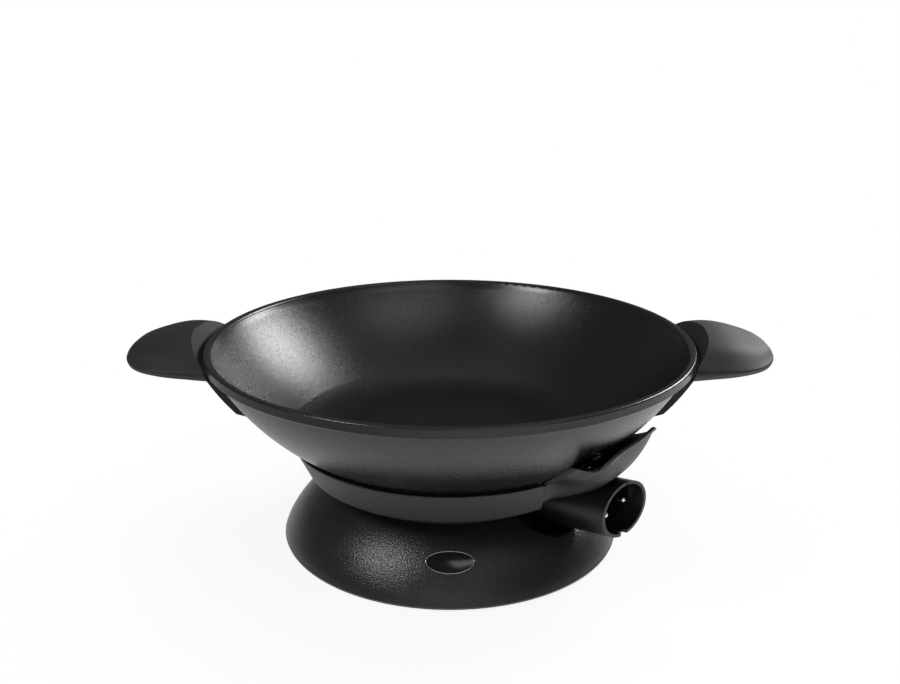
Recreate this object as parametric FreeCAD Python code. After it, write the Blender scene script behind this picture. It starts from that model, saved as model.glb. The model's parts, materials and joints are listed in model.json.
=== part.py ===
import FreeCAD, Part
import math
import os

V = FreeCAD.Vector

# All sizes are in mm and degrees. Heights are above the table, radii are from the wok's upright axis.

# Levels that the rest is stacked on
deck_top = 34.8
dish_thickness = 1.2
dish_floor = deck_top + dish_thickness
pan_bottom = dish_floor + 36.0
small_gap = 0.3
seat_gap = 0.5
thread_gap = 0.1

# Cast pan
rim_radius = 180.0
rim_lip_width = 5.0
rim_top = pan_bottom + 82.2
rim_band_height = 7.0
rim_edge_round = 1.2
wall_top_radius = rim_radius - 4.0
wall_foot_radius = 122.0
wall_foot_height = pan_bottom + 13.5
wall_foot_slope = 34.8
wall_thickness = 3.6
pan_floor_thickness = 5.5
cover_post_radius = 60.0
cover_post_girth = 5.0

# Skirt round the element, and its rivets
skirt_top_radius = wall_foot_radius - 3.5
skirt_bottom_radius = skirt_top_radius - 6.5
skirt_bottom = pan_bottom - 5.2
skirt_thickness = 1.5
skirt_gap_half_width = 47.5
rivet_first = -119.0
rivet_spacing = 49.0
rivet_places = (0, 1, 3, 4, 5, 6)
rivet_height = pan_bottom + 3.7
pocket_size = 6.6
pocket_margin = 1.0
pocket_depth = 2.2
pocket_thickness = 2.0
rivet_head_radius = 2.6
rivet_shank_radius = 1.4

# Bottom cover with the castellated ring and the latch socket
cover_edge_radius = skirt_bottom_radius - 2.7
cover_edge_height = skirt_bottom + 1.0
cover_ring_radius = 75.0
cover_ring_bottom = dish_floor + 15.2
cover_step_height = cover_ring_bottom + 5.0
cover_thickness = 1.5
cover_notch_count = 8
cover_notch_first = -111.5
cover_notch_width = 6.0
cover_notch_height = 2.6
socket_inner_radius = 10.0
socket_outer_radius = 14.0
socket_ceiling = dish_floor + 14.0

# Connector tube and what it holds
tube_azimuth = -35.0
tube_tilt = 3.78
tube_axis_height = dish_floor + 9.32
tube_radius = 21.0
tube_wall = 2.3
tube_start = 68.0
tube_mouth = wall_foot_radius + 26.8
tube_top_closed_from = wall_foot_radius - 23.0
tube_top_cut = 12.0
mouth_turn = -16.7
mouth_droop = 6.3
pin_spread = 14.2
pin_radius = 2.25
pin_tip = tube_mouth - 6.0
block_start = tube_mouth - 38.0
block_length = 10.0
block_collar = 3.0
collar_wall = 1.2
key_azimuths = (55.0, 180.0, 305.0)
pin_step = 0.3
probe_drop = 7.0
probe_bore_radius = 3.2
probe_sleeve_radius = 4.6
probe_sleeve_start = block_start - 4.0
probe_sleeve_end = block_start + 22.0
tongue_top = pan_bottom - 11.0
tongue_screw = tube_start - 14.0
tongue_thickness = 3.0
web_lead = 2.5
web_half_width = 10.0
element_ring_radius = 76.0
element_rod_radius = 3.5
element_gap_angle = 20.0

# Heat guard between the tube and the pan
guard_thickness = 2.0
guard_half_width = skirt_gap_half_width - 1.5
guard_foot = pan_bottom - 10.0
guard_waist = pan_bottom + 8.0
guard_shoulder_reach = 56.0
guard_shoulder = pan_bottom + 32.0
guard_crown = pan_bottom + 41.4
guard_flush_angle = 20.0
guard_notch_place = -51.8
guard_notch_width = 3.6
guard_notch_height = pan_bottom + 31.6

guard_belly = 11.0
dish_room = 0.9
guard_angles = (-26.0, -20.0, -17.0, -13.5, -9.0, 0.0, 9.0, 13.5, 17.0, 20.0, 26.0)

# Handles
handle_half_width = 55.0
handle_root = rim_radius - 12.0
handle_ellipse_centre = rim_radius + 15.0
handle_crest_radius = rim_radius + 21.0
handle_tip = rim_radius + 58.5
handle_crest = rim_top + 6.8
handle_root_fall = 3.0
handle_ridge = rim_top - 9.7
handle_tip_height = rim_top - 12.2
handle_underside = rim_top - 23.2
strap_offset = 7.6
strap_thickness = 5.0
strap_half_width = 26.0
strap_foot = rim_top - 50.2
strap_toe = strap_foot + 6.5
strap_top = rim_top - 8.5
bracket_thickness = 2.0
bracket_half_width = 22.0
bracket_top = rim_top - 25.2
window_foot = rim_top - 40.7
window_height = 4.0
screw_sink = 2.6
handle_screw_spread = 9.0
handle_screw_height = rim_top - 32.2

# Dish
dish_lean = 0.49
dish_seat_gap = 0.35
dish_foot = dish_floor + 22.0
dish_rim = dish_floor + 45.5
dish_foot_radius = skirt_bottom_radius + dish_seat_gap - dish_lean * (skirt_bottom - dish_foot)
dish_rim_radius = dish_foot_radius + dish_lean * (dish_rim - dish_foot)
dish_floor_radius = 72.0
dish_drop_radius = dish_floor_radius + 13.0
dish_drop = dish_floor + 5.0
dish_shelf_radius = dish_drop_radius + 3.5
dish_shelf = dish_drop + 5.5
dish_corner_round = 2.5
dish_recess_radius = 18.5
dish_recess_depth = 4.0
dish_screw_circle = dish_floor_radius - 4.5
dish_screw_first = 16.0
notch_left_foot = 36.0
notch_left_bend = 38.5
notch_left_rim = 47.8
notch_right_foot = 41.0
notch_right_bend = 51.5
notch_right_rim = 61.0

# Base
foot_radius = 9.0
foot_height = 2.2
flare_top_radius = dish_shelf_radius + 2.1
flare_top = dish_shelf - 1.5
flare_foot_radius = 127.0
flare_foot_height = 8.0
flare_bow = 4.0
base_wide_radius = flare_foot_radius + 1.7
base_wide_height = 3.6
base_bottom = 1.2
plate_radius = base_wide_radius - 7.2
plate_thickness = 2.0
foot_circle = plate_radius - 13.5
plate_post_circle = plate_radius - 26.5
plate_post_girth = 4.2
deck_thickness = 3.0
base_wall = 3.0
scoop_start = tube_start - 2.0
scoop_start_radius = tube_radius + 1.7
scoop_length = 74.0
scoop_end_radius = scoop_start_radius + 13.7
trough_wall = 2.5
badge_half_width = 16.9
badge_half_height = 8.1
badge_height = 28.9
badge_rim_width = 0.8

# Latch clip
clip_ring_radius = 8.4
clip_wire_radius = 0.8
clip_height = 10.2
clip_loop_spread = 2.2

# Screws
screw_head_radius = 3.2
screw_head_height = 1.8
screw_shank_radius = 1.5

origin = V(0, 0, 0)
up = V(0, 0, 1)
sideways = V(0, 1, 0)


def rz(radius, height):
    return V(radius, 0, height)


def slope(angle):
    return V(math.cos(math.radians(angle)), 0, math.sin(math.radians(angle)))


def swing(start, direction, end):
    # the arc that leaves start along direction and ends at end: its middle point and its end
    chord = end - start
    half = chord.Length / 2
    run = V(chord).normalize()
    bow = direction - run * direction.dot(run)
    lean = math.acos(max(-1.0, min(1.0, direction.dot(run))))
    middle = start + chord * 0.5 + bow.normalize() * (half * math.tan(lean / 2))
    return (middle, end)


def region(start, steps):
    # a closed face: one point makes a straight side, two points an arc through the first
    edges = []
    here = start
    for step in steps:
        if len(step) == 1:
            edges.append(Part.makeLine(here, step[0]))
        else:
            edges.append(Part.Arc(here, step[0], step[1]).toShape())
        here = step[-1]
    if here.distanceToPoint(start) > 1e-6:
        edges.append(Part.makeLine(here, start))
    return Part.Face(Part.Wire(edges))


def polygon(points):
    return region(points[0], [(point,) for point in points[1:]])


def turned(face, first=None, last=None):
    if first is None:
        return face.revolve(origin, up, 360)
    body = face.revolve(origin, up, last - first)
    body.rotate(origin, up, first)
    return body


def rod(radius, start, length, axis=up):
    return Part.makeCylinder(radius, length, start, axis)


def block(low, high):
    size = high - low
    return Part.makeBox(size.x, size.y, size.z, low)


def at_azimuth(shape, azimuth):
    body = shape.copy()
    body.rotate(origin, up, azimuth)
    return body


def in_tube(shape):
    # from the tube's own frame, X along its axis, to the wok's frame
    body = shape.copy()
    body.rotate(origin, sideways, -tube_tilt)
    body.translate(V(0, 0, tube_axis_height))
    body.rotate(origin, up, tube_azimuth)
    return body


def along_tube(face, start, length):
    # a face drawn in sideways distance and height, drawn out level along the tube's azimuth
    body = face.extrude(V(0, -length, 0))
    body.translate(V(0, -start, 0))
    body.rotate(origin, up, 90 + tube_azimuth)
    return body


def joined(shapes):
    body = shapes[0].fuse(shapes[1:])
    return body.removeSplitter()


def without(body, tools):
    for tool in tools:
        body = body.cut(tool)
    return body


def cap(radius, base, rise):
    # the arc of a round head that starts level with its rim and meets its axis squarely
    ball = (radius ** 2 + rise ** 2) / (2 * rise)
    half = math.asin(min(1.0, radius / ball)) / 2
    return (rz(ball * math.sin(half), base + rise - ball * (1 - math.cos(half))), rz(0, base + rise))


def screw(head_radius, length, place, direction):
    # a rounded head whose underside is at place, a shank along direction and a cross recess
    dome = region(rz(0, 0), [
        (rz(head_radius, 0),),
        (rz(head_radius, screw_head_height * 0.4),),
        cap(head_radius, screw_head_height * 0.4, screw_head_height * 0.6),
    ])
    body = turned(dome).fuse(rod(screw_shank_radius, V(0, 0, -length), length))
    arm = head_radius * 0.55
    bar = block(V(-arm, -0.35, screw_head_height * 0.45), V(arm, 0.35, screw_head_height * 2))
    body = without(body, [bar, at_azimuth(bar, 90)])
    turn = FreeCAD.Rotation(up, direction * -1)
    body.Placement = FreeCAD.Placement(place, turn)
    return body


# The pan's outer wall is one arc, so everything that follows the wall is set off from the same circle.
wall_foot_point = rz(wall_foot_radius, wall_foot_height)
wall_top_point = rz(wall_top_radius, rim_top - rim_band_height)
wall_chord = wall_top_point - wall_foot_point
wall_lean = math.degrees(math.atan2(wall_chord.z, wall_chord.x)) - wall_foot_slope
wall_arc_radius = wall_chord.Length / (2 * math.sin(math.radians(wall_lean)))
wall_centre = wall_foot_point + slope(wall_foot_slope + 90) * wall_arc_radius
wall_middle = (wall_foot_height + wall_top_point.z) / 2

# The bend between the flat bottom and the wall is an arc too.
bend_run = math.tan(math.radians(wall_foot_slope / 2))
bottom_radius = wall_foot_radius - (wall_foot_height - pan_bottom) / bend_run
bend_radius = (wall_foot_radius - bottom_radius) / math.sin(math.radians(wall_foot_slope))


def pan_underside(radius):
    # the height of the bend's outer face at this radius
    return pan_bottom + bend_radius - math.sqrt(bend_radius ** 2 - (radius - bottom_radius) ** 2)


def wall_point(height, offset):
    # the point off the wall's outer face, square to it, that starts from this height on the face
    fall = height - wall_centre.z
    reach = math.sqrt(wall_arc_radius ** 2 - fall ** 2)
    square = V(reach, 0, fall).normalize()
    return wall_centre + square * (wall_arc_radius + offset)


def wall_normal(height):
    return (wall_point(height, 1) - wall_point(height, 0)).normalize()


def wall_plate(low, high, near, far, half_width):
    # a plate parallel to the wall, between two offsets, centred on the +X side
    middle = (low + high) / 2
    face = region(wall_point(low, near), [
        (wall_point(low, far),),
        (wall_point(middle, far), wall_point(high, far)),
        (wall_point(high, near),),
        (wall_point(middle, near), wall_point(low, near)),
    ])
    half_angle = math.degrees(half_width / wall_point(middle, far).x)
    return turned(face, -half_angle, half_angle)


def make_pan():
    along = slope(wall_foot_slope)
    inward = slope(wall_foot_slope + 90)
    inner_foot = wall_foot_point + inward * wall_thickness
    inner_floor = pan_bottom + pan_floor_thickness
    floor_radius = inner_foot.x - (inner_foot.z - inner_floor) / bend_run
    lip_inner = rim_radius - rim_lip_width
    inner_top = rz(lip_inner - rim_edge_round * 0.6, rim_top - rim_edge_round * 2)
    side = wall_point(wall_top_point.z - 0.001, 0)
    face = region(rz(0, pan_bottom), [
        (rz(bottom_radius, pan_bottom),),
        swing(rz(bottom_radius, pan_bottom), slope(0), wall_foot_point),
        swing(wall_foot_point, along, side),
        (rz(rim_radius - 0.8, wall_top_point.z),),
        (rz(rim_radius, wall_top_point.z + 0.8),),
        (rz(rim_radius, rim_top - rim_edge_round),),
        (rz(rim_radius - rim_edge_round * 0.3, rim_top - rim_edge_round * 0.3),
         rz(rim_radius - rim_edge_round, rim_top)),
        (rz(lip_inner + rim_edge_round, rim_top),),
        (rz(lip_inner + rim_edge_round * 0.2, rim_top - rim_edge_round * 0.5), inner_top),
        swing(inner_top, (slope(wall_foot_slope + 2 * wall_lean) * -1), inner_foot),
        swing(inner_foot, along * -1, rz(floor_radius, inner_floor)),
        (rz(0, inner_floor),),
    ])
    posts = []
    holes = []
    for azimuth in cover_screw_azimuths:
        post = rod(cover_post_girth, rz(cover_post_radius, cover_step_height), pan_bottom + 1 - cover_step_height)
        hole = rod(screw_shank_radius + thread_gap, rz(cover_post_radius, cover_step_height - 1), 11)
        posts.append(at_azimuth(post, azimuth))
        holes.append(at_azimuth(hole, azimuth))
    tongue_post = rod(cover_post_girth, rz(tongue_screw, tongue_top), pan_bottom + 1 - tongue_top)
    tongue_hole = rod(screw_shank_radius + thread_gap, rz(tongue_screw, tongue_top - 1), 9)
    posts.append(at_azimuth(tongue_post, tube_azimuth))
    holes.append(at_azimuth(tongue_hole, tube_azimuth))
    return without(joined([turned(face)] + posts), holes)


skirt_top = pan_underside(skirt_top_radius) - small_gap
skirt_inner_top = pan_underside(skirt_top_radius - skirt_thickness) - seat_gap
rivet_azimuths = [rivet_first + rivet_spacing * place for place in rivet_places]


def skirt_radius(height):
    share = (height - skirt_bottom) / (skirt_top - skirt_bottom)
    return skirt_bottom_radius + share * (skirt_top_radius - skirt_bottom_radius)


def make_skirt():
    ring = turned(polygon([
        rz(skirt_bottom_radius, skirt_bottom),
        rz(skirt_top_radius, skirt_top),
        rz(skirt_top_radius - skirt_thickness, skirt_inner_top),
        rz(skirt_bottom_radius - skirt_thickness, skirt_bottom),
    ]))
    gap = block(V(50, -skirt_gap_half_width, skirt_bottom - 5), V(150, skirt_gap_half_width, skirt_top + 5))
    body = ring.cut(at_azimuth(gap, tube_azimuth))
    half = pocket_size / 2
    radius = skirt_radius(rivet_height)
    seat = radius - pocket_depth
    pads = []
    windows = []
    for azimuth in rivet_azimuths:
        window = block(V(seat, -half, rivet_height - half), V(radius + 3, half, rivet_height + half))
        pad = block(
            V(seat - pocket_thickness, -half - pocket_margin, rivet_height - half - pocket_margin),
            V(seat, half + pocket_margin, rivet_height + half),
        )
        hole = rod(rivet_shank_radius + thread_gap, V(radius - 6, 0, rivet_height), 9, V(1, 0, 0))
        slot = block(V(radius - 9, -3, skirt_bottom - 1), V(radius + 3, 3, skirt_bottom + 1.6))
        pads.append(at_azimuth(pad, azimuth))
        windows.extend([at_azimuth(window, azimuth), at_azimuth(hole, azimuth), at_azimuth(slot, azimuth)])
    return without(joined([body] + pads), windows)


def make_rivet(azimuth):
    seat = skirt_radius(rivet_height) - pocket_depth
    dome = region(origin, [
        (rz(rivet_head_radius, 0),),
        (rz(rivet_head_radius, 0.3),),
        cap(rivet_head_radius, 0.3, 1.1),
    ])
    body = turned(dome).fuse(rod(rivet_shank_radius, V(0, 0, -3.6), 3.6))
    body.rotate(origin, sideways, 90)
    body.translate(V(seat, 0, rivet_height))
    return at_azimuth(body, azimuth)


cover_screw_azimuths = [tube_azimuth + 60 + 120 * index for index in range(3)]


def make_cover():
    half = cover_thickness / 2
    face = polygon([
        rz(socket_inner_radius, dish_floor - dish_recess_depth),
        rz(socket_outer_radius, dish_floor - dish_recess_depth),
        rz(socket_outer_radius, cover_step_height - 2 * cover_thickness),
        rz(cover_ring_radius - 2, cover_step_height - 2 * cover_thickness),
        rz(cover_ring_radius - 2, cover_ring_bottom),
        rz(cover_ring_radius, cover_ring_bottom),
        rz(cover_ring_radius, cover_step_height - cover_thickness),
        rz(cover_edge_radius, cover_edge_height - cover_thickness),
        rz(cover_edge_radius, cover_edge_height),
        rz(cover_ring_radius - half, cover_step_height - half),
        rz(0, cover_step_height - half),
        rz(0, socket_ceiling),
        rz(socket_inner_radius, socket_ceiling),
    ])
    cuts = [in_tube(rod(tube_radius + small_gap, rz(tube_start - small_gap, 0), 90, V(1, 0, 0)))]
    web_room = block(
        V(tube_start - web_lead - small_gap, -web_half_width - small_gap, cover_step_height - 6),
        V(tube_start + 10, web_half_width + small_gap, cover_step_height + 6),
    )
    cuts.append(at_azimuth(web_room, tube_azimuth))
    for index in range(cover_notch_count):
        notch = block(
            V(cover_ring_radius - 5, -cover_notch_width / 2, cover_ring_bottom - 1),
            V(cover_ring_radius + 2, cover_notch_width / 2, cover_ring_bottom + cover_notch_height),
        )
        cuts.append(at_azimuth(notch, cover_notch_first + index * 360 / cover_notch_count))
    for azimuth in cover_screw_azimuths:
        hole = rod(screw_shank_radius + thread_gap, rz(cover_post_radius, cover_step_height - 6), 12)
        cuts.append(at_azimuth(hole, azimuth))
    return without(turned(face), cuts)


def make_cover_screw(azimuth):
    place = at_azimuth(Part.Vertex(rz(cover_post_radius, cover_step_height - 2 * cover_thickness)), azimuth)
    return screw(screw_head_radius, 11.0, place.Point, up)


def mouth_cutter():
    cutter = block(V(0, -60, -60), V(60, 60, 60))
    cutter.rotate(origin, sideways, mouth_droop)
    cutter.rotate(origin, up, mouth_turn)
    cutter.translate(V(tube_mouth, 0, 0))
    return cutter


def make_tube():
    ahead = V(1, 0, 0)
    inner_radius = tube_radius - tube_wall
    body = rod(tube_radius, rz(tube_start, 0), 100, ahead)
    body = body.cut(rod(inner_radius, rz(tube_start + 2.5, 0), 110, ahead))
    open_top = block(V(tube_start - 1, -30, tube_top_cut), V(tube_top_closed_from, 30, 30))
    slit = block(V(tube_mouth - 8, -0.6, tube_radius - 4), V(tube_mouth + 20, 0.6, tube_radius + 1))
    body = without(body, [open_top, mouth_cutter(), slit])
    mouth_floor = tube_mouth - 4.5
    lip_notch = block(V(mouth_floor, -1, -tube_radius - 1), V(tube_mouth + 20, 5, -inner_radius + 2))
    body = body.cut(lip_notch)
    keys = []
    for azimuth in key_azimuths:
        key = block(V(block_start + block_length, -0.8, inner_radius - 1.4), V(pin_tip - 2, 0.8, inner_radius + 1))
        key.rotate(origin, ahead, azimuth)
        keys.append(key)
    body = joined([body] + keys)
    body = in_tube(body)
    tongue = block(
        V(tongue_screw - 8, -10, tongue_top - tongue_thickness),
        V(tube_start + 4, 10, tongue_top),
    )
    web = block(
        V(tube_start - web_lead, -web_half_width, tongue_top - 14),
        V(tube_start + 1, web_half_width, tongue_top),
    )
    tongue = tongue.fuse(web)
    hole = rod(screw_shank_radius + thread_gap, rz(tongue_screw, tongue_top - 6), 8)
    tongue = at_azimuth(tongue.cut(hole), tube_azimuth)
    return joined([body, tongue])


def make_terminal_block():
    ahead = V(1, 0, 0)
    body = rod(tube_radius - tube_wall - small_gap, rz(block_start, 0), block_length, ahead)
    collar_length = block_length + block_collar
    collars = [rod(pin_radius + collar_wall, V(block_start, side * pin_spread, 0), collar_length, ahead)
               for side in (-1, 1)]
    body = joined([body] + collars)
    for side in (-1, 1):
        hole = rod(pin_radius - pin_step + thread_gap, V(block_start - 1, side * pin_spread, 0), 30, ahead)
        body = body.cut(hole)
    hole = rod(probe_sleeve_radius + thread_gap, V(block_start - 1, 0, -probe_drop), 30, ahead)
    return in_tube(body.cut(hole))


def make_pin(side):
    # a thinner tail held in the block and a thicker free end with a round tip
    ahead = V(1, 0, 0)
    free_start = block_start + block_length + block_collar + small_gap
    free_end = pin_tip - pin_radius
    tail = rod(pin_radius - pin_step, V(block_start, side * pin_spread, 0), free_start - block_start, ahead)
    body = rod(pin_radius, V(free_start, side * pin_spread, 0), free_end - free_start, ahead)
    tip = Part.makeSphere(pin_radius, V(free_end, side * pin_spread, 0))
    return in_tube(joined([body, tail, tip]))


def make_probe_sleeve():
    ahead = V(1, 0, 0)
    length = probe_sleeve_end - probe_sleeve_start
    body = rod(probe_sleeve_radius, V(probe_sleeve_start, 0, -probe_drop), length, ahead)
    bore = rod(probe_bore_radius, V(probe_sleeve_start + 2, 0, -probe_drop), length, ahead)
    return in_tube(body.cut(bore))


def make_element():
    # a ring clamped to the pan's underside whose two ends drop into the tube
    height = pan_bottom - element_rod_radius
    gap = math.radians(element_gap_angle)
    edges = []
    ring_start = V(element_ring_radius * math.cos(gap), element_ring_radius * math.sin(gap), height)
    ring_end = V(ring_start.x, -ring_start.y, height)
    edges.append(Part.Arc(ring_start, V(-element_ring_radius, 0, height), ring_end).toShape())
    drop = tube_axis_height + block_start * math.tan(math.radians(tube_tilt))
    slant = math.tan(math.radians(tube_tilt))
    for side in (1, -1):
        start = V(ring_start.x, side * ring_start.y, height)
        lead = V(math.sin(gap), -side * math.cos(gap), 0) * 15.0
        finish = V(block_start - 0.4, side * pin_spread, drop - 0.4 * slant)
        bend = V(ring_start.x + 18.0, side * 1.0, height - 0.5)
        inside = finish - V(18.0, side * 3.2, 18.0 * slant)
        curve = Part.BezierCurve()
        curve.setPoles([start, start + lead, bend, inside, finish - V(1, 0, slant) * 7.0, finish])
        edges.append(curve.toShape())
    path = Part.Wire(Part.__sortEdges__(edges))
    first = path.OrderedEdges[0]
    begin = first.valueAt(first.FirstParameter)
    ahead = first.tangentAt(first.FirstParameter)
    if path.OrderedVertexes[0].Point.distanceToPoint(begin) > 1e-3:
        begin = first.valueAt(first.LastParameter)
    ring = Part.Wire(Part.makeCircle(element_rod_radius, begin, ahead))
    body = path.makePipeShell([ring], True, False)
    return at_azimuth(body, tube_azimuth)


def guard_section(outer, angle):
    # a closed wire: the outer face's curve, and the inner one set off square to it
    inner = []
    for index in range(len(outer)):
        before = outer[max(index - 1, 0)]
        after = outer[min(index + 1, len(outer) - 1)]
        run = (after - before).normalize()
        inner.append(outer[index] + V(-run.z, 0, run.x) * guard_thickness)
    front = Part.BSplineCurve()
    front.interpolate(outer)
    back = Part.BSplineCurve()
    back.interpolate(inner)
    edges = [
        front.toShape(),
        Part.makeLine(outer[-1], inner[-1]),
        back.toShape(),
        Part.makeLine(inner[0], outer[0]),
    ]
    wire = Part.Wire(edges)
    wire.rotate(origin, up, tube_azimuth + angle)
    return wire


def notch_edges(margin):
    # the notch's left and right edge, each from its foot up, drawn in by a margin
    left = [
        V(margin - notch_left_foot, 0, 0),
        V(margin - notch_left_foot, 0, dish_foot - 3),
        V(margin - notch_left_bend, 0, dish_foot + 4),
        V(margin - notch_left_rim, 0, dish_rim),
        V(margin - notch_left_rim, 0, dish_rim + 9),
    ]
    right = [
        V(notch_right_foot - margin, 0, 0),
        V(notch_right_foot - margin, 0, dish_foot - 5),
        V(notch_right_bend - margin, 0, dish_foot + 2),
        V(notch_right_rim - margin, 0, dish_rim),
        V(notch_right_rim - margin, 0, dish_rim + 9),
    ]
    return (left, right)


def notch_room():
    # what is cut out of the dish for the tube and the guard
    left, right = notch_edges(0)
    return along_tube(polygon(left + right[::-1]), tube_start - small_gap, 80)


def notch_flanks(margin):
    # all that stands beside the notch, on its left and on its right
    flanks = []
    reach = 1.5 * notch_right_rim
    for edge, side in zip(notch_edges(margin), (-reach, reach)):
        foot = V(edge[1].x, 0, dish_foot - 8)
        face = polygon([foot] + edge[1:] + [V(side, 0, edge[-1].z), V(side, 0, foot.z)])
        flanks.append(along_tube(face, tube_start - 8, 80))
    return flanks


def pan_room(gap):
    # all that lies within a gap of the pan's underside and wall
    start = rz(bottom_radius, pan_bottom - gap)
    return turned(region(rz(0, pan_bottom - gap), [
        (start,),
        swing(start, slope(0), wall_point(wall_foot_height, gap)),
        (wall_point(wall_middle, gap), wall_point(wall_top_point.z, gap)),
        (rz(0, wall_top_point.z),),
    ]))


def guard_outline():
    # the guard seen along the tube: upright sides between the skirt's ends, then a wide leaf
    half = guard_half_width
    reach = guard_shoulder_reach
    tip = guard_crown - 4.0
    return region(V(-half, 0, guard_foot), [
        (V(-half, 0, guard_waist),),
        (V(-reach, 0, guard_shoulder - 2),),
        (V(-reach + 0.4, 0, guard_shoulder + 2.2), V(-reach + 4, 0, guard_shoulder + 3.6)),
        (V(-reach / 10, 0, guard_crown), V(reach * 0.55, 0, tip)),
        (V(half - 5, 0, tip - 2.6), V(half - 0.4, 0, tip - 9)),
        (V(half, 0, guard_waist),),
        (V(half, 0, guard_foot),),
    ])


def guard_profile(share):
    # the outer face from foot to crown: flush with the skirt at share 0, and bowed out over the tube at 1
    flush = [rz(skirt_radius(height) - small_gap, height) for height in (guard_foot, skirt_bottom + 3, skirt_bottom + 12)]
    flush += [wall_point(guard_waist + 11 * step, 1.6 + 3.8 * step) for step in (1, 2, 3)]
    run = wall_point(guard_crown, 6) - flush[0]
    bow = slope(math.degrees(math.atan2(run.z, run.x)) - 90)
    bowed = []
    for index in range(6):
        along = index / 5
        bowed.append(flush[0] + run * along + bow * (4 * guard_belly * along * (1 - along)))
    return [near + (far - near) * share for near, far in zip(flush, bowed)]


def make_guard():
    wires = []
    for angle in guard_angles:
        spread = min(1.0, abs(angle) / guard_flush_angle) ** 2
        wires.append(guard_section(guard_profile(0.5 + 0.5 * math.cos(math.pi * spread)), angle))
    body = Part.makeLoft(wires, True, False)
    body = body.common(along_tube(guard_outline(), 60, 120))
    room = in_tube(rod(tube_radius + 0.8, rz(tube_start, 0), 130, V(1, 0, 0)))
    half = guard_notch_width / 2
    notch = block(V(100, guard_notch_place - half, guard_notch_height), V(180, guard_notch_place + half, guard_crown + 9))
    wall = dish_path()[:2]
    band = turned(polygon(set_off(wall, -dish_room) + set_off(wall, dish_thickness + dish_room)[::-1]))
    dish_rooms = [band.common(side) for side in notch_flanks(1.0)]
    cover_room = rod(cover_edge_radius + small_gap, origin, cover_edge_height + 1)
    return without(body, dish_rooms + [room, at_azimuth(notch, tube_azimuth), pan_room(seat_gap), cover_room])


def handle_section(x):
    # a slice of the grip, square to X: hollow flanks above a blunt edge, and a flatter underside
    if x > handle_ellipse_centre:
        share = (x - handle_ellipse_centre) / (handle_tip - handle_ellipse_centre)
        half_width = handle_half_width * math.sqrt(1 - share ** 2)
    else:
        half_width = handle_half_width
    if x > handle_crest_radius:
        share = (x - handle_crest_radius) / (handle_tip - handle_crest_radius)
        top = handle_tip_height + (handle_crest - handle_tip_height) * (1 - share ** 1.5) ** 0.75
        ridge = handle_tip_height + (handle_ridge - handle_tip_height) * (1 - share ** 2) ** 0.5
        bottom = handle_tip_height - (handle_tip_height - handle_underside) * (1 - share ** 2.2) ** 0.6
    else:
        share = (handle_crest_radius - x) / (handle_crest_radius - handle_root)
        top = handle_crest - handle_root_fall * share ** 2
        ridge = handle_ridge
        bottom = handle_underside
    rise = top - ridge
    drop = ridge - bottom
    half = [
        (0.0, top),
        (0.40, top - 0.08 * rise),
        (0.72, top - 0.33 * rise),
        (0.93, ridge + 0.22 * rise),
        (1.0, ridge),
        (0.94, ridge - 0.42 * drop),
        (0.72, bottom + 0.20 * drop),
        (0.36, bottom + 0.03 * drop),
        (0.0, bottom),
    ]
    front = [V(x, -share * half_width, height) for share, height in half]
    back = [V(x, share * half_width, height) for share, height in half[-2:0:-1]]
    curve = Part.BSplineCurve()
    curve.interpolate(Points=front + back, PeriodicFlag=True)
    return Part.Wire(curve.toShape())


def make_handle_grip():
    reach = handle_tip - handle_crest_radius
    stations = [handle_root, (handle_root + handle_crest_radius) / 2, handle_crest_radius]
    stations += [handle_crest_radius + reach * share for share in (0.3, 0.58, 0.8, 0.93, 0.99)]
    grip = Part.makeLoft([handle_section(x) for x in stations], True, False)
    foot = wall_point(strap_foot - 4, strap_offset)
    face_foot = wall_point(wall_top_point.z - 7, strap_offset)
    scoop = turned(region(rz(100, foot.z), [
        (foot,),
        (wall_point(bracket_top, strap_offset), face_foot),
        (rz(rim_radius + 1.6, wall_top_point.z),),
        (rz(rim_radius + 10.5, handle_crest + 1),),
        (rz(100, handle_crest + 1),),
    ]))
    return grip.cut(scoop)


def make_handle(turn):
    grip = make_handle_grip()
    outer = strap_offset + strap_thickness
    strap_face = region(wall_point(strap_foot, strap_offset), [
        (wall_point(strap_toe, outer),),
        (wall_point((strap_toe + strap_top) / 2, outer), wall_point(strap_top, outer)),
        (wall_point(strap_top, strap_offset),),
        (wall_point((strap_foot + strap_top) / 2, strap_offset), wall_point(strap_foot, strap_offset)),
    ])
    half_angle = math.degrees(strap_half_width / wall_point(handle_screw_height, outer).x)
    strap = turned(strap_face, -half_angle, half_angle)
    body = joined([grip, strap])
    cuts = []
    for side in (-1, 1):
        cuts.append(screw_hole(side, strap_offset - 1, screw_shank_radius + thread_gap, 12))
        cuts.append(screw_hole(side, outer - screw_sink, screw_head_radius + small_gap, 12))
    return at_azimuth(without(body, cuts), turn)


def screw_angle():
    return math.degrees(handle_screw_spread / wall_point(handle_screw_height, strap_offset).x)


def screw_hole(side, offset, radius, length):
    start = wall_point(handle_screw_height, offset)
    angle = screw_angle() * side
    return at_azimuth(rod(radius, start, length, wall_normal(handle_screw_height)), angle)


def make_bracket(turn):
    # a plate against the strap, with two posts welded to the pan's wall
    near = strap_offset - small_gap - bracket_thickness
    body = wall_plate(strap_foot + 0.5, bracket_top, near, near + bracket_thickness, bracket_half_width)
    for side in (-1, 1):
        body = body.fuse(screw_hole(side, 0.05, 4.5, near + 0.5))
    window = wall_plate(window_foot, window_foot + window_height, near - 1, near + bracket_thickness + 1, 9.0)
    cuts = [at_azimuth(window, -7.5), at_azimuth(window, 7.5)]
    for side in (-1, 1):
        cuts.append(screw_hole(side, 1.5, screw_shank_radius + thread_gap, 12))
    return at_azimuth(without(body.removeSplitter(), cuts), turn)


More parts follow.
